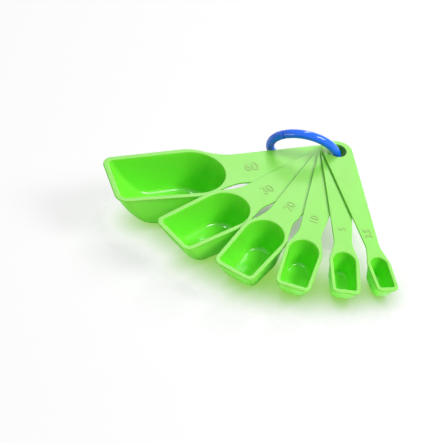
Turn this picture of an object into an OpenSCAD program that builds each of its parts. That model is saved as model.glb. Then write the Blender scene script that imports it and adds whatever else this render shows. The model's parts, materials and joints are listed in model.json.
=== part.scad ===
/* [Bowls] */
// Brimful capacity of the largest scoop, in millilitres
largest_capacity = 60; // [30:5:120]
// Inside length of the largest bowl along its handle
bowl_length = 76; // [55:1:110]
// Outside width of the largest bowl across its straight front edge
bowl_width = 41.6; // [30:0.2:64]
// How much wider the largest bowl grows towards its round back
bowl_flare = 3; // [0:0.2:6]
// Width of the flat rim on the largest bowl
rim_width = 3; // [2.2:0.1:4]
// Thickness of bowl walls and floors
wall = 1.8; // [1.2:0.1:2.2]
// Slope of the side walls, in degrees
side_slope = 6; // [2:0.5:10]
// How far the front wall runs back before it meets the floor, as a share of the length
front_run = 0.4; // [0.2:0.02:0.5]
// Rounding from wall into floor, as a share of half the inside width
floor_rounding = 0.35; // [0.15:0.05:0.5]

/* [Handles] */
// Thickness of every handle plate and rim
plate = 1.4; // [1:0.1:2]
// Width of the largest handle at its ring end
handle_width = 31; // [26:0.5:38]
// Width of the smallest handle at its ring end
handle_width_small = 21; // [19:0.5:25]
// From the ring hole to the bowl opening on the largest scoop
handle_reach = 79; // [70:1:110]
// Extra handle reach that the small scoops gain
reach_gain = 47; // [20:1:60]
// Ring hole in every handle
hole_diameter = 12.4; // [12:0.1:14]

/* [Ring] */
// Diameter of the ring's centre line
ring_diameter = 45.6; // [40:0.2:60]
// Thickness of the ring's round section
ring_tube = 6; // [4.5:0.1:6.2]
// Air at the ring's split
ring_split = 0.3; // [0.2:0.05:0.8]
// Diameter of the snap peg inside the split
peg_diameter = 2.8; // [2:0.1:3.4]
// How far the snap peg reaches into its socket
peg_reach = 4; // [2:0.2:6]
// Lean of the ring's axis from the level, in degrees
ring_lean = 24; // [10:0.2:35]
// Heading of the ring's axis seen from above, in degrees
ring_heading = 78; // [60:0.5:100]

/* [Fan] */
// Air between stacked handle plates
plate_air = 0.3; // [0.3:0.05:0.6]
// Heading of the largest scoop, in degrees from straight ahead
first_heading = -71.8; // [-90:0.5:-50]
// Free angle between the three large bowls, whose rims may lap a little
large_air = -0.35; // [-0.35:0.05:4]
// Free angle between the third and the fourth bowl
middle_air = 0.2; // [-0.2:0.05:6]
// Free angle between the three small bowls
small_air = 2.5; // [-0.2:0.1:8]
// Tilt of the fan towards its small end, in degrees
tilt_side = 8.6; // [4:0.1:16]
// Tilt of the fan towards its front, in degrees
tilt_front = 5.1; // [0:0.1:10]

/* [Hidden] */

scoop_count = 6;
capacity_share = [1, 1 / 2, 1 / 3, 1 / 6, 1 / 12, 1 / 24];
pitch = plate + plate_air;
corner_share = 0.18;
back_share = 1.15;
end_reach = 9.5;
lip = 0.9;
ring_shift = 0.6;
millilitre = 1000;

// Points along each kind of curve
corner_steps = 5;
back_steps = 18;
wall_steps = 5;
floor_steps = 5;
shoulder_steps = 12;
end_steps = 24;

// Every bowl keeps the largest bowl's proportions
function size(i) = pow(capacity_share[i], 1 / 3);
function smallness(i) = 1 - size(i);
function rim(i) = rim_width * (0.64 + 0.36 * size(i));
function reach(i) = handle_reach + reach_gain * pow(smallness(i), 2);
function inner_front(i) = reach(i) + bowl_length * size(i);
function front(i) = inner_front(i) + rim(i) + 0.6;
function front_half(i) = bowl_width / 2 * size(i);
function back_half(i) = front_half(i) + bowl_flare / 2 * size(i);
function shoulder(i) = reach(i) + 0.32 * bowl_length * size(i);
function neck(i) = reach(i) - 9 - 3 * smallness(i);
function neck_half(i) = back_half(i) * 0.61;
function end_half(i) =
    handle_width_small / 2
    + (handle_width - handle_width_small) / 2 * (size(i) - size(scoop_count - 1)) / smallness(scoop_count - 1);

// Share of the way from rim to floor at each level
function levels(depth, radius) =
    let (bend = radius / depth)
    concat(
        [for (j = [0 : wall_steps - 1]) (1 - bend) * j / wall_steps],
        [for (j = [0 : floor_steps]) 1 - bend + bend * sin(90 * j / floor_steps)]
    );
function quarter(share) = 1 - sqrt(max(0, 1 - share * share));
function floor_radius(i) = floor_rounding * (front_half(i) - rim(i));
function rounding(share, depth, radius) = radius * quarter(max(0, 1 - (1 - share) * depth / radius));
function front_curve(share) = 0.55 * share + 0.45 * quarter(share);

// Plan of a bowl: straight front, rounded corners, round back
function bowl_plan(front_x, back_x, front_y, back_y, wanted_corner) =
    let (
        middle = back_x + back_share * back_y,
        corner = min(wanted_corner, 0.94 * front_y)
    )
    concat(
        [for (j = [0 : corner_steps])
            let (a = 90 * j / corner_steps)
            [front_x - corner + corner * cos(a), -(front_y - corner) - corner * sin(a)]],
        [for (j = [0 : back_steps])
            let (a = 180 * j / back_steps)
            [middle - (middle - back_x) * sin(a), -back_y * cos(a)]],
        [for (j = [0 : corner_steps])
            let (a = 90 - 90 * j / corner_steps)
            [front_x - corner + corner * cos(a), front_y - corner + corner * sin(a)]]
    );

// Plan of the hollow, and of the outside, part of the way down
function hollow_plan(i, share, depth) =
    let (
        bend = rounding(share, depth, floor_radius(i)),
        inset = depth * tan(side_slope) * share + bend,
        back_inset = depth * tan(side_slope + 5) * share + bend,
        corner = front_half(i) * corner_share + 0.3 * inset
    )
    bowl_plan(
        inner_front(i) - front_run * bowl_length * size(i) * front_curve(share),
        reach(i) + back_inset,
        front_half(i) - rim(i) - inset,
        back_half(i) - rim(i) - inset,
        corner
    );
function outside_plan(i, share, depth) =
    let (
        thin = (rim(i) - lip - wall) * share,
        bend = rounding(share, depth, floor_radius(i) + wall),
        inset = thin + depth * tan(side_slope) * share + bend,
        back_inset = depth * tan(side_slope + 5) * share + bend,
        corner = front_half(i) * corner_share + rim(i) + 0.3 * inset
    )
    bowl_plan(
        front(i) - lip - (front_run * bowl_length * size(i) + thin) * front_curve(share),
        reach(i) - wall + back_inset,
        front_half(i) - lip - inset,
        back_half(i) - lip - inset,
        corner
    );

// Depth that gives a bowl its capacity
function total(list, j = 0) = j < len(list) ? list[j] + total(list, j + 1) : 0;
function plan_area(p) =
    abs(total([for (j = [0 : len(p) - 1])
        let (q = p[(j + 1) % len(p)])
        p[j][0] * q[1] - q[0] * p[j][1]])) / 2;
function mean_area(i, depth, slices = 12) =
    total([for (j = [0 : slices - 1]) plan_area(hollow_plan(i, (j + 0.5) / slices, depth))]) / slices;
function solve_depth(i, depth, turns) =
    turns == 0
    ? depth
    : solve_depth(i, largest_capacity * capacity_share[i] * millilitre / mean_area(i, depth), turns - 1);
depths = [for (i = [0 : scoop_count - 1]) solve_depth(i, 24 * size(i), 5)];

// Half outline of the rim and handle, from the ring end to the front
function smooth(t) = t * t * (3 - 2 * t);
function back_edge(i, x) =
    let (
        half = back_half(i) - lip,
        length = back_share * half,
        along = (reach(i) - wall + length - x) / length
    )
    abs(along) < 1 ? lip + half * sqrt(1 - along * along) : 0;
function half_outline(i) =
    let (corner = front_half(i) * corner_share + rim(i))
    concat(
        [for (j = [0 : end_steps / 2])
            let (a = 180 - 90 * j / (end_steps / 2))
            [end_reach * cos(a), end_half(i) * sin(a)]],
        [for (j = [0 : shoulder_steps])
            let (
                t = j / shoulder_steps,
                x = neck(i) + (shoulder(i) - neck(i)) * t,
                flare = neck_half(i) + (back_half(i) - neck_half(i)) * smooth(t)
            )
            [x, max(flare, back_edge(i, x))]],
        [for (j = [0 : corner_steps])
            let (a = 90 - 90 * j / corner_steps)
            [front(i) - corner + corner * cos(a), front_half(i) - corner + corner * sin(a)]]
    );
function mirrored(p) = [for (j = [len(p) - 1 : -1 : 0]) [p[j][0], -p[j][1]]];
function outline(i) =
    let (p = half_outline(i))
    concat(p, [for (q = mirrored(p)) if (q[1] < -0.001) q]);

// Heading of every scoop: bowls lie side by side with a little air
function bowl_angle(i) = max([for (p = half_outline(i)) p[0] > neck(i) ? atan2(p[1], p[0]) : 0]);
function air(i) = i < 2 ? large_air : i == 2 ? middle_air : small_air;
function heading(i) =
    i == 0
    ? first_heading
    : heading(i - 1) + bowl_angle(i - 1) + bowl_angle(i) + air(i - 1);

// Height of a point of the tilted fan over the fan's pivot
function height(p) =
    cos(tilt_side) * (sin(tilt_front) * p[1] + cos(tilt_front) * p[2]) - sin(tilt_side) * p[0];
function turned(p, a) = [p[0] * cos(a) - p[1] * sin(a), p[0] * sin(a) + p[1] * cos(a), p[2]];
function floor_low(i) =
    min([for (share = levels(depths[i] + wall, floor_radius(i) + wall))
        for (p = outside_plan(i, share, depths[i] + wall))
            height(turned([p[0], p[1], pitch * i - share * (depths[i] + wall)], heading(i) - 90))]);
fan_axis = [cos(tilt_front) * sin(tilt_side), -sin(tilt_front), cos(tilt_front) * cos(tilt_side)];
ring_middle = pitch * (scoop_count - 1) / 2 - plate / 2;
ring_low = height([0, 0, ring_middle]) - (ring_diameter + ring_tube) / 2 * cos(ring_lean);
pivot_height = -min([ring_low, min([for (i = [0 : scoop_count - 1]) floor_low(i)])]);

// Middle of the whole set seen from above, which is put over the origin
function placed(i, p, z) =
    let (q = turned([p[0], p[1], pitch * i + z], heading(i) - 90))
    [
        cos(tilt_side) * q[0] + sin(tilt_side) * (sin(tilt_front) * q[1] + cos(tilt_front) * q[2]),
        cos(tilt_front) * q[1] - sin(tilt_front) * q[2]
    ];
plan_points = [for (i = [0 : scoop_count - 1]) for (p = outline(i)) for (z = [-plate, 0]) placed(i, p, z)];
plan_x = [for (p = plan_points) p[0]];
plan_y = [for (p = plan_points) p[1]];
ring_centre = ring_middle * fan_axis + (ring_diameter / 2 - ring_shift) * [-sin(ring_heading), cos(ring_heading), 0];
ring_axis = [cos(ring_lean) * cos(ring_heading), cos(ring_lean) * sin(ring_heading), sin(ring_lean)];
ring_back = ring_centre[1] + ring_diameter / 2 * sqrt(1 - pow(ring_axis[1], 2)) + ring_tube / 2;
middle_x = (min(plan_x) + max(plan_x)) / 2;
middle_y = (min(plan_y) + max(ring_back, max(plan_y))) / 2;
pivot = [-middle_x, -middle_y, pivot_height];

// Closed solid through a stack of plans
module loft(plans, heights) {
    n = len(plans[0]);
    m = len(plans);
    points = [for (k = [0 : m - 1]) for (p = plans[k]) [p[0], p[1], heights[k]]];
    sides = [for (k = [0 : m - 2]) for (j = [0 : n - 1])
        let (a = k * n + j, b = k * n + (j + 1) % n)
        each [[b, a, a + n], [b, a + n, b + n]]];
    top = [for (j = [0 : n - 1]) j];
    bottom = [for (j = [n - 1 : -1 : 0]) (m - 1) * n + j];
    polyhedron(points = points, faces = concat([top], sides, [bottom]));
}

module bowl_outside(i) {
    deep = depths[i] + wall;
    shares = levels(deep, floor_radius(i) + wall);
    plans = concat([outside_plan(i, 0, deep)], [for (s = shares) if (s * deep > plate) outside_plan(i, s, deep)]);
    heights = concat([-plate / 2], [for (s = shares) if (s * deep > plate) -s * deep]);
    loft(plans, heights);
}

module bowl_hollow(i) {
    shares = levels(depths[i], floor_radius(i));
    plans = concat([hollow_plan(i, 0, depths[i])], [for (s = shares) hollow_plan(i, s, depths[i])]);
    heights = concat([plate], [for (s = shares) -s * depths[i]]);
    loft(plans, heights);
}

module scoop(i) {
    color("limegreen")
    translate(pivot)
    rotate([tilt_front, tilt_side, 0])
    translate([0, 0, pitch * i])
    rotate(heading(i) - 90)
    difference() {
        union() {
            translate([0, 0, -plate])
            linear_extrude(plate) polygon(outline(i));
            bowl_outside(i);
        }
        bowl_hollow(i);
        translate([0, 0, -2 * plate])
        cylinder(h = 4 * plate, d = hole_diameter, $fn = 64);
    }
}

module scoop_1() { scoop(0); }
module scoop_2() { scoop(1); }
module scoop_3() { scoop(2); }
module scoop_4() { scoop(3); }
module scoop_5() { scoop(4); }
module scoop_6() { scoop(5); }

// Part of the ring's round section, of a given thickness
module ring_arc(thickness, start, sweep) {
    rotate(start)
    rotate_extrude(angle = sweep, $fn = 96)
    translate([ring_diameter / 2, 0])
    circle(d = thickness, $fn = 32);
}

module snap_ring() {
    degree = 360 / (PI * ring_diameter);
    split_angle = ring_split * degree;
    peg_angle = peg_reach * degree;
    peg_air = 0.2;
    split_at = 148;
    color("royalblue")
    translate(pivot + ring_centre)
    rotate([0, 90 - ring_lean, ring_heading]) {
        difference() {
            ring_arc(ring_tube, split_at + split_angle, 360 - split_angle);
            ring_arc(peg_diameter + 2 * peg_air, split_at, split_angle + peg_angle + peg_air * degree);
        }
        ring_arc(peg_diameter, split_at - peg_angle, 2 * peg_angle + split_angle);
    }
}

scoop_1();
scoop_2();
scoop_3();
scoop_4();
scoop_5();
scoop_6();
snap_ring();
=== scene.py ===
import bpy
import bmesh
import json
import math
from mathutils import Matrix, Vector
from mathutils.geometry import delaunay_2d_cdt


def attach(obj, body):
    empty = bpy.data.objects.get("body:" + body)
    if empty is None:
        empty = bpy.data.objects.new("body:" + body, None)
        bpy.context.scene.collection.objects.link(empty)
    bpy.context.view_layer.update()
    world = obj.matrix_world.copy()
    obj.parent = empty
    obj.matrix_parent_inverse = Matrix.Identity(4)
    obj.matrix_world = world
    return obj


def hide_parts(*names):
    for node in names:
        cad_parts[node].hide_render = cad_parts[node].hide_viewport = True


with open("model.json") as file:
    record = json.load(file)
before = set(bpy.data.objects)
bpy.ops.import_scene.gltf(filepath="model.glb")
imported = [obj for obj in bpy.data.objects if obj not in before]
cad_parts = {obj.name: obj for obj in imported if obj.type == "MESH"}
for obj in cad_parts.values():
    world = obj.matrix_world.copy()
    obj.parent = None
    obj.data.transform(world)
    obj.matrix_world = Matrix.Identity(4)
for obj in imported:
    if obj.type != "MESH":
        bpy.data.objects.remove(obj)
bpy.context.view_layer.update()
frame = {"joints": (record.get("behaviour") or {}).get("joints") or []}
scene = bpy.context.scene
joints = {joint["name"]: joint for joint in frame["joints"]}
mm = 0.001
millilitre = 1000  # in cubic millimetres


# a node's socket, used like a number
class Wire:
    def __init__(self, tree, socket=None):
        self.tree, self.socket = tree, socket

    def make(self, kind, settings=None, inputs=None, output=0):
        node = self.tree.nodes.new(kind)
        for key, value in (settings or {}).items():
            setattr(node, key, value)
        for key, value in (inputs or {}).items():
            if isinstance(value, Wire):
                self.tree.links.new(value.socket, node.inputs[key])
            else:
                node.inputs[key].default_value = value
        return Wire(self.tree, node.outputs[output])

    def maths(self, operation, first, second=0.0):
        return self.make("ShaderNodeMath", {"operation": operation}, {0: first, 1: second})

    def __add__(self, other):
        return self.maths("ADD", self, other)

    def __radd__(self, other):
        return self.maths("ADD", other, self)

    def __sub__(self, other):
        return self.maths("SUBTRACT", self, other)

    def __rsub__(self, other):
        return self.maths("SUBTRACT", other, self)

    def __mul__(self, other):
        return self.maths("MULTIPLY", self, other)

    def __rmul__(self, other):
        return self.maths("MULTIPLY", other, self)

    def __truediv__(self, other):
        return self.maths("DIVIDE", self, other)

    def __rtruediv__(self, other):
        return self.maths("DIVIDE", other, self)


def feed(wire, node, socket):
    wire.tree.links.new(wire.socket, node.inputs[socket])


def newMaterial(name):
    material = bpy.data.materials.new(name)
    material.use_nodes = True
    tree = material.node_tree
    place = Wire(tree).make("ShaderNodeTexCoord", output="Object")
    return material, tree.nodes["Principled BSDF"], place


# Mix has sockets of the same name for each type, so its colours go by number
def mixColours(place, amount, first, second):
    return place.make(
        "ShaderNodeMix", {"data_type": "RGBA"},
        {0: amount, 6: (*first, 1), 7: (*second, 1)}, 2)


def smoothRamp(value, start, end, first, last):
    return value.make(
        "ShaderNodeMapRange", {"interpolation_type": "SMOOTHSTEP"},
        {"Value": value, "From Min": start, "From Max": end, "To Min": first, "To Max": last})


# cloudy colour, fine grain and faint scuffs, the same on every moulding
plasticGrain = {
    "cloudSize": 38.0, "cloudDetail": 3.0, "cloudShare": 0.7,
    "flowSize": 260.0, "flowTwist": 0.6, "fineDetail": 2.0,
    "scuffSize": 420.0, "scuffDetail": 4.0, "scuffStretch": (1.0, 9.0, 1.0), "scuffTurn": 0.5,
    "bumpStrength": 0.35, "bending": 1.49,
}


def mouldedPlastic(name, paint):
    material, shader, place = newMaterial(name)

    def noise(vector, size, detail, twist=0.0):
        return place.make(
            "ShaderNodeTexNoise", None,
            {"Vector": vector, "Scale": size, "Detail": detail, "Distortion": twist})

    cloud = noise(place, plasticGrain["cloudSize"], plasticGrain["cloudDetail"])
    flow = noise(place, plasticGrain["flowSize"], plasticGrain["fineDetail"], plasticGrain["flowTwist"])
    grain = noise(place, paint["grainSize"], plasticGrain["fineDetail"])
    stretched = place.make(
        "ShaderNodeMapping", None,
        {"Vector": place, "Scale": plasticGrain["scuffStretch"],
         "Rotation": (0, 0, plasticGrain["scuffTurn"])})
    scuffs = noise(stretched, plasticGrain["scuffSize"], plasticGrain["scuffDetail"])
    shade = cloud * plasticGrain["cloudShare"] + flow * (1 - plasticGrain["cloudShare"])
    feed(mixColours(place, shade, paint["deep"], paint["light"]), shader, "Base Color")
    middle = 0.5  # of the noise
    uneven = (cloud - middle) * paint["unevenness"] + (scuffs - middle) * paint["streaks"]
    feed(uneven + paint["roughness"], shader, "Roughness")
    bump = place.make(
        "ShaderNodeBump", None,
        {"Height": grain + scuffs * paint["streaks"], "Strength": plasticGrain["bumpStrength"],
         "Distance": paint["grainDepth"]})
    feed(bump, shader, "Normal")
    shader.inputs["IOR"].default_value = plasticGrain["bending"]
    return material, shader


# the graded scoops, in millimetres and degrees
scoopSet = {
    "capacities": [60, 30, 20, 10, 5, 2.5],  # millilitres
    "bowlLength": 76, "bowlWidth": 41.6, "bowlFlare": 3, "wall": 1.8, "lip": 0.9,
    "rim": 3, "rimLeast": 0.64, "frontRim": 0.6,  # the rim narrows with the bowl
    "sideSlope": 6, "backSlope": 11, "frontRun": 0.4, "frontSlant": 0.55,
    "floorRounding": 0.35, "backShare": 1.15,
    "cornerShare": 0.18, "cornerGain": 0.3, "cornerLimit": 0.94,
    "plate": 1.4, "plateAir": 0.3, "hole": 12.4, "endReach": 9.5,
    "handleWidth": 31, "handleWidthSmall": 21, "handleReach": 79, "reachGain": 47,
    "neckShare": 0.61, "neckBack": 9, "neckGain": 3, "shoulderShare": 0.32,
    "firstHeading": -71.8, "spareAngles": [-0.35, -0.35, 0.2, 2.5, 2.5],  # between neighbours
    # rounded edges and dished floors of the finished mouldings
    "topEdge": 0.45, "underEdge": 0.38, "mouthEdge": 0.55, "holeEdge": 0.3, "lipTrim": 0.45,
    "innerBend": 0.62, "floorTurn": 80, "underTrim": 0.09, "sharpAngle": 50, "evenWeight": 60,
    # raised capacity numbers
    "numberHeight": 10.5, "numberLeast": 0.45, "numberRaised": 0.2, "numberSunk": 0.25,
    "numberRounding": 0.06, "numberBack": 19,
    # how finely all of it is drawn
    "edgeSteps": 4, "cornerSteps": 10, "backSteps": 44, "sideSteps": 10, "frontSteps": 10,
    "wallSteps": 14, "floorSteps": 12, "dishSteps": 10, "holeSteps": 64,
    "endSteps": 24, "handleSteps": 12, "shoulderSteps": 30,
    # satin tops, shiny hollows and soft outsides, one plastic whose roughness differs by finish; the
    # colours differ as painted light and shade: the tops a paler, greyer green toned down where the
    # light falls full, the hollows and outsides a brighter, more saturated green standing in for the
    # deep shade the translucent walls show
    "paints": {
        "top": {
            "light": (0.238, 0.672, 0.074), "deep": (0.214, 0.638, 0.062),
            "roughness": 0.42, "glow": 0.5, "grainSize": 3200.0, "grainDepth": 0.00006,
            "unevenness": 0.10, "streaks": 0.06},
        "inside": {
            "light": (0.205, 0.830, 0.050), "deep": (0.175, 0.795, 0.036),
            "roughness": 0.06, "glow": 0.08, "grainSize": 900.0, "grainDepth": 0.00002,
            "unevenness": 0.05, "streaks": 0.05},
        "outside": {
            "light": (0.270, 0.900, 0.070), "deep": (0.240, 0.870, 0.055),
            "roughness": 0.36, "glow": 0.6, "grainSize": 2400.0, "grainDepth": 0.00004,
            "unevenness": 0.08, "streaks": 0.06},
    },
    "glowDepth": 0.0032, "glowColours": (0.35, 1.0, 0.15),
}


# one material for each paint: lit and shaded copies of one plastic, with painted light and shade in
# their colours
def scoopMaterials():
    made = []
    for part, paint in scoopSet["paints"].items():
        material, shader = mouldedPlastic(part + "Plastic", paint)
        shader.inputs["Subsurface Weight"].default_value = paint["glow"]
        shader.inputs["Subsurface Scale"].default_value = scoopSet["glowDepth"]
        shader.inputs["Subsurface Radius"].default_value = scoopSet["glowColours"]
        made.append(material)
    return made


def between(first, last, share):
    return first + (last - first) * share


def quarter(share):
    return 1 - math.sqrt(max(0.0, 1 - share * share))


# how far the front wall has come back at a share of the depth
def frontCurve(share):
    return between(quarter(share), share, scoopSet["frontSlant"])


def arcPoints(centre, reach, first, last, steps):
    angles = [math.radians(between(first, last, step / steps)) for step in range(steps + 1)]
    return [
        (centre[0] + reach[0] * math.cos(angle), centre[1] + reach[1] * math.sin(angle))
        for angle in angles]


# one scoop, sized by the same rule as in the part's source
class Scoop:
    firstDepth = 24  # of the largest, a start for the turns that find it
    depthTurns = 5
    areaSlices = 12
    areaSteps = (5, 18, 1, 1)  # corner, back, side, front
    angleSteps = (12, 1, 12, 1, 5)  # end, handle, shoulder, side, corner

    def __init__(self, number):
        sizes = scoopSet
        capacities = sizes["capacities"]
        self.capacity = capacities[number]
        shares = [(capacity / capacities[0]) ** (1 / 3) for capacity in capacities]
        self.size = shares[number]
        small = 1 - self.size
        self.rim = sizes["rim"] * between(sizes["rimLeast"], 1, self.size)
        self.reach = sizes["handleReach"] + sizes["reachGain"] * small ** 2
        self.innerFront = self.reach + sizes["bowlLength"] * self.size
        self.front = self.innerFront + self.rim + sizes["frontRim"]
        self.frontHalf = sizes["bowlWidth"] / 2 * self.size
        self.backHalf = self.frontHalf + sizes["bowlFlare"] / 2 * self.size
        self.shoulder = self.reach + sizes["shoulderShare"] * sizes["bowlLength"] * self.size
        self.neck = self.reach - sizes["neckBack"] - sizes["neckGain"] * small
        self.neckHalf = self.backHalf * sizes["neckShare"]
        widening = (self.size - shares[-1]) / (1 - shares[-1])
        self.endHalf = between(sizes["handleWidthSmall"], sizes["handleWidth"], widening) / 2
        self.corner = self.frontHalf * sizes["cornerShare"]
        self.floorRadius = sizes["floorRounding"] * (self.frontHalf - self.rim)
        self.innerRadius = self.floorRadius
        self.depth = self.firstDepth * self.size
        for turn in range(self.depthTurns):  # until the bowl holds its capacity
            self.depth = self.capacity * millilitre / self.meanArea(self.depth)

    def meanArea(self, depth):
        heights = [(number + 0.5) / self.areaSlices for number in range(self.areaSlices)]
        plans = [self.hollow(share, depth, 0, *self.areaSteps) for share in heights]
        return sum(abs(signedArea(plan)) for plan in plans) / self.areaSlices

    # how far side and back have come in at a share of the depth
    def insets(self, share, depth, radius):
        along = max(0.0, 1 - (1 - share) * depth / radius)
        bend = radius * quarter(along)
        slopes = (scoopSet["sideSlope"], scoopSet["backSlope"])
        return [depth * math.tan(math.radians(slope)) * share + bend for slope in slopes]

    def hollow(self, share, depth, grow, *steps):
        inset, backInset = self.insets(share, depth, self.innerRadius)
        run = scoopSet["frontRun"] * scoopSet["bowlLength"] * self.size
        return bowlPlan(
            self.innerFront - run * frontCurve(share) + grow, self.reach + backInset - grow,
            self.frontHalf - self.rim - inset + grow, self.backHalf - self.rim - inset + grow,
            self.corner + scoopSet["cornerGain"] * inset + grow, *steps)

    def outside(self, share, depth, *steps):
        wall = scoopSet["wall"]
        lip = scoopSet["lip"] - scoopSet["lipTrim"]
        thin = (self.rim - lip - wall) * share
        inset, backInset = self.insets(share, depth, self.floorRadius + wall)
        inset += thin
        run = scoopSet["frontRun"] * scoopSet["bowlLength"] * self.size + thin
        return bowlPlan(
            self.front - lip - run * frontCurve(share), self.reach - wall + backInset,
            self.frontHalf - lip - inset, self.backHalf - lip - inset,
            self.corner + self.rim + scoopSet["cornerGain"] * inset, *steps)

    # handle end, handle, flare of the neck, side of the rim, front corner
    def halfOutline(self, endSteps, handleSteps, shoulderSteps, sideSteps, cornerSteps):
        corner = self.corner + self.rim
        sideEnd = self.front - corner
        points = arcPoints((0, 0), (scoopSet["endReach"], self.endHalf), 180, 90, endSteps)
        for step in range(1, handleSteps):
            along = step / handleSteps
            points.append((self.neck * along, between(self.endHalf, self.neckHalf, along)))
        for step in range(shoulderSteps + 1):
            along = step / shoulderSteps
            x = between(self.neck, self.shoulder, along)
            flare = between(self.neckHalf, self.backHalf, along * along * (3 - 2 * along))
            points.append((x, max(flare, self.backEdge(x))))
        for step in range(1, sideSteps):
            along = step / sideSteps
            points.append((between(self.shoulder, sideEnd, along),
                           between(self.backHalf, self.frontHalf, along)))
        centre = (sideEnd, self.frontHalf - corner)
        return points + arcPoints(centre, (corner, corner), 90, 0, cornerSteps)

    # the rim follows the round back of the bowl where that is wider than the neck
    def backEdge(self, x):
        lip = scoopSet["lip"]
        half = self.backHalf - lip
        length = scoopSet["backShare"] * half
        along = (self.reach - scoopSet["wall"] + length - x) / length
        return lip + half * math.sqrt(1 - along * along) if abs(along) < 1 else 0

    def halfAngle(self):
        points = self.halfOutline(*self.angleSteps)
        return max(math.degrees(math.atan2(y, x)) for x, y in points if x > self.neck)


def signedArea(points):
    pairs = zip(points, points[1:] + points[:1])
    return sum(here[0] * after[1] - after[0] * here[1] for here, after in pairs) / 2


# straight front, rounded corners, sides that widen, round back
def bowlPlan(frontX, backX, frontY, backY, corner, cornerSteps, backSteps, sideSteps, frontSteps):
    middle = backX + scoopSet["backShare"] * backY
    corner = min(corner, scoopSet["cornerLimit"] * frontY)
    centre = (frontX - corner, frontY - corner)
    side = arcPoints(centre, (corner, corner), 0, 90, cornerSteps)
    sideX, sideY = side[-1]
    for step in range(1, sideSteps):
        along = step / sideSteps
        side.append((between(sideX, middle, along), between(sideY, backY, along)))
    back = arcPoints((middle, 0), (middle - backX, backY), 90, 270, backSteps)
    across = [2 * step / frontSteps - 1 for step in range(1, frontSteps)]
    straight = [(frontX, (frontY - corner) * share) for share in across]
    other = [(x, -y) for x, y in reversed(side)]
    return side + back + other + straight


# the outline drawn in by the same distance all round
def moved(points, inward):
    count = len(points)
    leastSlant = 0.5
    result = []
    for number in range(count):
        before, here, after = (Vector(points[(number + step) % count]) for step in (-1, 0, 1))
        first = (here - before).normalized()
        second = (after - here).normalized()
        bisector = Vector((-(first.y + second.y), first.x + second.x)).normalized()
        slant = max(leastSlant, bisector.dot(Vector((-first.y, first.x))))
        result.append(tuple(here + bisector * (inward / slant)))
    return result


def addLoop(mesh, points, height):
    ordered = points if signedArea(points) > 0 else points[::-1]
    return [mesh.verts.new((x, y, height)) for x, y in ordered]


def addFace(mesh, corners, slot):
    face = mesh.faces.new(corners)
    face.material_index = slot


def bridge(mesh, loops, slot, outward=False):
    for upper, lower in zip(loops, loops[1:]):
        if outward:
            upper, lower = lower, upper
        for here in range(len(upper)):
            after = (here + 1) % len(upper)
            addFace(mesh, (upper[here], upper[after], lower[after], lower[here]), slot)


# flat face between an outer loop and the loops of its openings, which are convex
def fillFlat(mesh, outer, holes, slot):
    verts = [vert for loop in [outer] + holes for vert in loop]
    edges, owners = [], []
    for number, loop in enumerate([outer] + holes):
        start, count = len(owners), len(loop)
        edges += [(start + here, start + (here + 1) % count) for here in range(count)]
        owners += [number] * count
    flat = [Vector((vert.co.x, vert.co.y)) for vert in verts]
    onlyInside, tolerance = 1, 1e-7
    triangles, origins = delaunay_2d_cdt(flat, edges, [], onlyInside, tolerance)[2:4]
    for triangle in triangles:
        corners = [origins[corner][0] for corner in triangle]
        loops = {owners[corner] for corner in corners}
        if len(set(corners)) == 3 and (len(loops) > 1 or 0 in loops):
            addFace(mesh, [verts[corner] for corner in corners], slot)


# shares of the depth at which a wall gets a loop, closer together in the bend
def levels(depth, radius, first, turn=90):
    wallSteps, floorSteps = scoopSet["wallSteps"], scoopSet["floorSteps"]
    bend = radius / depth
    shares = [between(first, 1 - bend, step / wallSteps) for step in range(1, wallSteps)]
    angles = [math.radians(turn * step / floorSteps) for step in range(floorSteps + 1)]
    return shares + [1 - bend + bend * math.sin(angle) for angle in angles]


# inset and drop along a rounded edge
def rounding(radius):
    steps = scoopSet["edgeSteps"]
    angles = [math.radians(90 * step / steps) for step in range(steps + 1)]
    return [(radius * (1 - math.sin(angle)), radius * (1 - math.cos(angle))) for angle in angles]


# floor that sinks a little towards its middle, in shrinking loops
def dishedFloor(mesh, edge, slot):
    steps = scoopSet["dishSteps"]
    middle = sum((vert.co for vert in edge), Vector()) / len(edge)
    half = max(abs(vert.co.y) for vert in edge)
    sink = half / 2 * math.tan(math.radians(90 - scoopSet["floorTurn"]))  # goes on from the bend
    loops = [edge]
    for step in range(1, steps):
        share = 1 - step / steps
        drop = Vector((0, 0, sink * (1 - share * share)))
        loops.append([mesh.verts.new(middle.lerp(vert.co, share) - drop) for vert in edge])
    bridge(mesh, loops, slot)
    tip = mesh.verts.new((middle.x, middle.y, middle.z - sink))
    last = loops[-1]
    for here in range(len(last)):
        addFace(mesh, (last[here], last[(here + 1) % len(last)], tip), slot)


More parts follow.
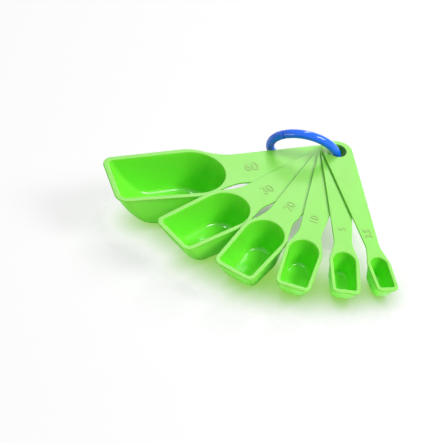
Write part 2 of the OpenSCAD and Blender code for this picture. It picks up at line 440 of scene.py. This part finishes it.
def scoopMesh(scoop):
    sizes = scoopSet
    mesh = bmesh.new()
    top, inside, outside = range(3)  # slots, in the order of the paints
    plate = sizes["plate"]
    plan = [sizes[key + "Steps"] for key in ("corner", "back", "side", "front")]
    half = scoop.halfOutline(*(
        sizes[key + "Steps"] for key in ("end", "handle", "shoulder", "side", "corner")))
    frontX, frontY = half[-1]
    frontShares = [1 - 2 * step / sizes["frontSteps"] for step in range(1, sizes["frontSteps"])]
    frontEdge = [(frontX, frontY * share) for share in frontShares]
    otherHalf = [(x, -y) for x, y in reversed(half[1:])]
    outline = (half + frontEdge + otherHalf)[::-1]  # anticlockwise, so that inward is to its left

    # rounded outer edge of rim and handle, from the top face to the underside
    edge = [(inset, -drop) for inset, drop in rounding(sizes["topEdge"])]
    edge += [(drop, inset - plate) for inset, drop in rounding(sizes["underEdge"])]
    rimLoops = [addLoop(mesh, moved(outline, inset), height) for inset, height in edge]
    bridge(mesh, rimLoops, top, outward=True)

    # ring hole with rounded edges
    holeRadius, holeSteps = sizes["hole"] / 2, sizes["holeSteps"]
    edge = [(holeRadius + inset, -drop) for inset, drop in rounding(sizes["holeEdge"])]
    edge += [(radius, -plate - height) for radius, height in reversed(edge)]
    holeLoops = []
    for radius, height in edge:
        circle = arcPoints((0, 0), (radius, radius), 0, 360, holeSteps)[:-1]
        holeLoops.append(addLoop(mesh, circle, height))
    bridge(mesh, holeLoops, top)

    # mouth, walls and floor of the hollow
    mouth = []
    for grow, drop in rounding(sizes["mouthEdge"]):
        points = scoop.hollow(drop / scoop.depth, scoop.depth, grow, *plan)
        mouth.append(addLoop(mesh, points, -drop))
    bridge(mesh, mouth, top)
    hollowLoops = [mouth[-1]]
    scoop.innerRadius = scoop.floorRadius * sizes["innerBend"]
    firstShare = sizes["mouthEdge"] / scoop.depth
    for share in levels(scoop.depth, scoop.innerRadius, firstShare, sizes["floorTurn"]):
        points = scoop.hollow(share, scoop.depth, 0, *plan)
        hollowLoops.append(addLoop(mesh, points, -share * scoop.depth))
    bridge(mesh, hollowLoops, inside)
    dishedFloor(mesh, hollowLoops[-1], inside)

    # outside of the bowl, from under the rim to its flat foot
    deep = scoop.depth + sizes["wall"] - sizes["underTrim"]
    under = plate / deep
    outerLoops = []
    for share in [under] + levels(deep, scoop.floorRadius + sizes["wall"], under):
        outerLoops.append(addLoop(mesh, scoop.outside(share, deep, *plan), -share * deep))
    bridge(mesh, outerLoops, outside, outward=True)
    fillFlat(mesh, outerLoops[-1], [], outside)

    # top face and underside
    fillFlat(mesh, rimLoops[0], [holeLoops[0], mouth[0]], top)
    fillFlat(mesh, rimLoops[-1], [holeLoops[-1], outerLoops[0]], top)
    return mesh


def evaluatedMesh(holder):
    bpy.context.view_layer.update()
    graph = bpy.context.evaluated_depsgraph_get()
    return bpy.data.meshes.new_from_object(holder.evaluated_get(graph))


def raisedNumber(mesh, scoop):
    sizes = scoopSet
    curve = bpy.data.curves.new("number", "FONT")
    curve.body = f"{scoop.capacity:g}"
    curve.size = sizes["numberHeight"] * between(sizes["numberLeast"], 1, scoop.size)
    curve.align_x, curve.align_y = "CENTER", "CENTER"
    curve.extrude = (sizes["numberRaised"] + sizes["numberSunk"]) / 2
    curve.bevel_depth = sizes["numberRounding"]
    holder = bpy.data.objects.new("number", curve)
    scene.collection.objects.link(holder)
    shape = evaluatedMesh(holder)
    along = scoop.neck + sizes["neckBack"] - sizes["numberBack"]
    lift = sizes["numberRaised"] - curve.extrude - sizes["numberRounding"]
    shape.transform(Matrix.Translation((along, 0, lift)) @ Matrix.Rotation(math.pi, 4, "Z"))
    shape.materials.clear()
    mesh.from_mesh(shape)
    bpy.data.objects.remove(holder)
    bpy.data.curves.remove(curve)
    bpy.data.meshes.remove(shape)


def smoothPiece(name, data):
    for polygon in data.polygons:
        polygon.use_smooth = True
    piece = bpy.data.objects.new(name, data)
    scene.collection.objects.link(piece)
    return piece


def finishMesh(mesh, name, place, materials):
    sameSpot = 1e-5
    bmesh.ops.remove_doubles(mesh, verts=mesh.verts, dist=sameSpot)
    bmesh.ops.recalc_face_normals(mesh, faces=mesh.faces)
    data = bpy.data.meshes.new(name)
    mesh.to_mesh(data)
    mesh.free()
    data.transform(place)
    for material in materials:
        data.materials.append(material)
    piece = smoothPiece(name, data)
    data.set_sharp_from_angle(angle=math.radians(scoopSet["sharpAngle"]))
    weighted = piece.modifiers.new("evenShading", "WEIGHTED_NORMAL")
    weighted.weight = scoopSet["evenWeight"]
    weighted.keep_sharp = True
    return piece


# the fan's own frame: its origin in the ring holes, its z along the hinges
pivot = Vector(joints["fan_2"]["pos_m"])
fanAxis = Vector(joints["fan_2"]["axis"])
tiltFront = -math.asin(fanAxis.y)
tiltSide = math.atan2(fanAxis.x, fanAxis.z)
fan = Matrix.Translation(pivot) @ Matrix.Rotation(tiltSide, 4, "Y") @ Matrix.Rotation(tiltFront, 4, "X")

scoopGreens = scoopMaterials()
pitch = (scoopSet["plate"] + scoopSet["plateAir"]) * mm
heading = scoopSet["firstHeading"]  # counted from straight to the front
previous = None
for number in range(len(scoopSet["capacities"])):
    scoop = Scoop(number)
    if previous:
        heading += previous.halfAngle() + scoop.halfAngle() + scoopSet["spareAngles"][number - 1]
    spot = (fan @ Matrix.Translation((0, 0, pitch * number))
            @ Matrix.Rotation(math.radians(heading - 90), 4, "Z") @ Matrix.Scale(mm, 4))
    mesh = scoopMesh(scoop)
    raisedNumber(mesh, scoop)
    name = f"scoop_{number + 1}"
    piece = finishMesh(mesh, name + "_moulding", spot, scoopGreens)
    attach(piece, name)
    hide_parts(name)
    previous = scoop
    print("scoop", number + 1, "depth", round(scoop.depth, 2), "heading", round(heading, 2))


# the split ring, in millimetres and degrees
snapRing = {
    "diameter": 45.6, "tube": 6, "split": 0.3, "splitAt": 148, "peg": 2.8, "pegReach": 4,
    "endRounding": 0.5, "trim": 0.005,
    "ringSteps": 220, "tubeSteps": 40, "pegSteps": 12, "pegTubeSteps": 20,
    "paint": {
        "light": (0.0005, 0.155, 1.0), "deep": (0.0003, 0.125, 0.94), "roughness": 0.09,
        "grainSize": 1600.0, "grainDepth": 0.000006, "unevenness": 0.04, "streaks": 0.02},
}


# an arc with rounded ends, and the peg across its split
def ringTree(material, labels):
    tree = bpy.data.node_groups.new("snapRing", "GeometryNodeTree")
    sockets = {}
    for label in labels:
        socket = tree.interface.new_socket(label, in_out="INPUT", socket_type="NodeSocketFloat")
        sockets[label] = socket.identifier
    tree.interface.new_socket("Mesh", in_out="OUTPUT", socket_type="NodeSocketGeometry")
    given = {label: Wire(tree).make("NodeGroupInput", output=label) for label in labels}
    ringRadius, tubeRadius = given["Ring radius"], given["Tube radius"]

    def arc(start, sweep, steps):
        return ringRadius.make(
            "GeometryNodeCurveArc", {"mode": "RADIUS"},
            {"Resolution": steps, "Radius": ringRadius, "Start Angle": start, "Sweep Angle": sweep})

    def tube(path, radius, steps, scale=1.0):
        profile = path.make(
            "GeometryNodeCurvePrimitiveCircle", None, {"Resolution": steps, "Radius": radius})
        return path.make(
            "GeometryNodeCurveToMesh", None,
            {"Curve": path, "Profile Curve": profile, "Scale": scale, "Fill Caps": True})

    path = arc(given["Start"], given["Sweep"], snapRing["ringSteps"])
    along = path.make("GeometryNodeSplineParameter", output="Length")
    whole = path.make("GeometryNodeSplineLength", output="Length")
    # a quarter round takes a little off the tube at both ends
    nearest = path.maths("MINIMUM", along, whole - along)
    back = 1 - path.maths("MINIMUM", nearest / given["End rounding"], 1.0)
    bulge = path.maths("SQRT", 1 - back * back)
    lost = (1 - bulge) * (given["End rounding"] / tubeRadius)
    body = tube(path, tubeRadius, snapRing["tubeSteps"], 1 - lost)
    pegPath = arc(given["Peg start"], given["Peg sweep"], snapRing["pegSteps"])
    peg = tube(pegPath, given["Peg radius"], snapRing["pegTubeSteps"])
    joined = path.make("GeometryNodeJoinGeometry", None, {0: body})
    feed(peg, joined.socket.node, 0)
    real = path.make("GeometryNodeRealizeInstances", None, {0: joined})
    painted = path.make("GeometryNodeSetMaterial", None, {"Geometry": real, "Material": material})
    feed(painted, tree.nodes.new("NodeGroupOutput"), 0)
    return tree, sockets


def buildRing():
    sizes = snapRing
    radius = sizes["diameter"] / 2
    split = sizes["split"] / radius
    reach = sizes["pegReach"] / radius
    start = math.radians(sizes["splitAt"])
    values = {
        "Ring radius": radius * mm, "Tube radius": (sizes["tube"] / 2 - sizes["trim"]) * mm,
        "Start": start + split, "Sweep": 2 * math.pi - split,
        "End rounding": sizes["endRounding"] * mm, "Peg radius": sizes["peg"] / 2 * mm,
        "Peg start": start - reach, "Peg sweep": 2 * reach + split,
    }
    material = mouldedPlastic("ringGloss", sizes["paint"])[0]
    tree, sockets = ringTree(material, list(values))
    holder = bpy.data.objects.new("ringHolder", bpy.data.meshes.new("ringHolder"))
    scene.collection.objects.link(holder)
    modifier = holder.modifiers.new("snapRing", "NODES")
    modifier.node_group = tree
    for label, value in values.items():
        modifier[sockets[label]] = value
    data = evaluatedMesh(holder)
    bpy.data.objects.remove(holder)
    spin = joints["ring_spin"]
    axis = Vector(spin["axis"])
    ringHeading = math.atan2(axis.y, axis.x)
    lean = math.asin(axis.z)
    data.transform(Matrix.Translation(spin["pos_m"]) @ Matrix.Rotation(ringHeading, 4, "Z")
                   @ Matrix.Rotation(math.pi / 2 - lean, 4, "Y"))
    data.name = "snap_ring_moulding"
    piece = smoothPiece("snap_ring_moulding", data)
    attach(piece, "ring")
    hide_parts("snap_ring")
    print("ring", len(data.polygons), "faces")


buildRing()

# floor, world and lamps, in metres and watts
studio = {
    "worldStrength": 0.20, "floorColor": (0.95, 0.95, 0.95), "floorSize": 8.0,
    "floorRoughness": 0.9, "floorShine": 0.1,
    "floorLift": 0.72, "liftCentre": (0.03, 0, 0), "liftFrom": 0.02, "liftTo": 0.07,
    # painted shade: the green tint the camera sees on the floor close to the bowls, found by ambient
    # occlusion
    "shade": (0.26, 0.60, 0.08), "shadeReach": 0.028, "shadeFull": 0.11, "shadeNone": 0.96,
    "shadeSamples": 16, "shadeClears": 2,
    "lampDistance": 1.3,
    "lamps": {
        "keyLamp": {"watts": 14.3, "wide": 0.50, "long": 0.50, "from": (0.72, -0.22, 0.66)},
        "topLamp": {"watts": 2.0, "wide": 0.14, "long": 0.14, "from": (0.05, 0.10, 1.0)},
        "sideLamp": {"watts": 3.6, "wide": 0.60, "long": 0.24, "from": (-0.74, -0.66, 0.14)},
        "backLamp": {"watts": 4.6, "wide": 0.16, "long": 0.60, "from": (0.22, 0.65, 0.73)},
    },
}


def rayKinds(tree, *kinds):
    return [Wire(tree).make("ShaderNodeLightPath", output=f"Is {kind} Ray") for kind in kinds]


def paleFloor():
    data = bpy.data.meshes.new("floor")
    half = studio["floorSize"] / 2
    corners = [(-half, -half, 0), (half, -half, 0), (half, half, 0), (-half, half, 0)]
    data.from_pydata(corners, [], [(0, 1, 2, 3)])
    floor = bpy.data.objects.new("floor", data)
    scene.collection.objects.link(floor)
    material, shader, place = newMaterial("paleFloor")
    shader.inputs["Base Color"].default_value = (*studio["floorColor"], 1)
    shader.inputs["Roughness"].default_value = studio["floorRoughness"]
    shader.inputs["Specular IOR Level"].default_value = studio["floorShine"]
    camera, shadow = rayKinds(place.tree, "Camera", "Shadow")
    below = place.make("ShaderNodeNewGeometry", output="Backfacing")
    # painted shade: close to the bowls, where ambient occlusion finds them, the camera sees the floor
    # through a green filter, a painted stand-in for the green shade under the translucent plastic
    sky = place.make(
        "ShaderNodeAmbientOcclusion", {"samples": studio["shadeSamples"]},
        {"Distance": studio["shadeReach"]}, "AO")
    near = smoothRamp(sky, studio["shadeFull"], studio["shadeNone"], 1.0, 0.0)
    # under the handles the floor shows its real shadow, further out it is lifted towards white
    away = place.make(
        "ShaderNodeVectorMath", {"operation": "DISTANCE"},
        {0: place, 1: studio["liftCentre"]}, "Value")
    lift = smoothRamp(away, studio["liftFrom"], studio["liftTo"], 0.0, studio["floorLift"])
    # the white world shows through the floor, and so does a bowl that swings below it
    clear = camera.maths("MAXIMUM", near * studio["shadeClears"] + lift, below)
    seeThrough = camera * clear + shadow * below
    through = place.make("ShaderNodeBsdfTransparent")
    # painted shade: a green filter over the floor where the bowls are close
    shadeFilter = place.make("ShaderNodeBsdfTransparent", None, {"Color": (*studio["shade"], 1)})
    paintedShade = place.make(
        "ShaderNodeMixShader", None, {0: camera * near * (1 - below), 1: through, 2: shadeFilter})
    lit = Wire(place.tree, shader.outputs[0])
    shown = place.make("ShaderNodeMixShader", None, {0: seeThrough, 1: lit, 2: paintedShade})
    feed(shown, place.tree.nodes["Material Output"], "Surface")
    data.materials.append(material)


def softLamp(name, settings):
    lamp = bpy.data.lights.new(name, "AREA")
    lamp.energy, lamp.shape = settings["watts"], "RECTANGLE"
    lamp.size, lamp.size_y = settings["wide"], settings["long"]
    holder = bpy.data.objects.new(name, lamp)
    way = Vector(settings["from"]).normalized()
    holder.location = way * studio["lampDistance"]
    holder.rotation_euler = way.to_track_quat("Z", "Y").to_euler()
    scene.collection.objects.link(holder)


# dim light on the set, plain white where it is seen or mirrored
def whiteWorld():
    world = bpy.data.worlds.new("softWorld")
    scene.world = world
    world.use_nodes = True
    tree = world.node_tree
    camera, glossy, clear = rayKinds(tree, "Camera", "Glossy", "Transmission")
    shown = camera.maths("MAXIMUM", camera.maths("MAXIMUM", camera, glossy), clear)
    dim = (studio["worldStrength"],) * 3
    feed(mixColours(camera, shown, dim, (1, 1, 1)), tree.nodes["Background"], "Color")


# the photograph's view, in millimetres and degrees
photoView = {
    "place": (-35.26, -1062.0, 881.61), "aim": (-16.54, 16.14, 0), "roll": 1.677,
    "lens": 170.19, "sensor": 36, "nearest": 10, "furthest": 50000,
}


def photoCamera():
    data = bpy.data.cameras.new("camera")
    data.sensor_fit, data.sensor_width = "HORIZONTAL", photoView["sensor"]
    data.lens = photoView["lens"]
    data.clip_start, data.clip_end = photoView["nearest"] * mm, photoView["furthest"] * mm
    holder = bpy.data.objects.new("camera", data)
    place = Vector(photoView["place"])
    facing = (place - Vector(photoView["aim"])).to_track_quat("Z", "Y").to_matrix().to_4x4()
    roll = Matrix.Rotation(math.radians(photoView["roll"]), 4, "Z")
    holder.matrix_world = Matrix.Translation(place * mm) @ facing @ roll
    scene.collection.objects.link(holder)
    scene.camera = holder


paleFloor()
for name, lamp in studio["lamps"].items():
    softLamp(name, lamp)
whiteWorld()
photoCamera()
scene.view_settings.view_transform = "Standard"
print("studio ready")
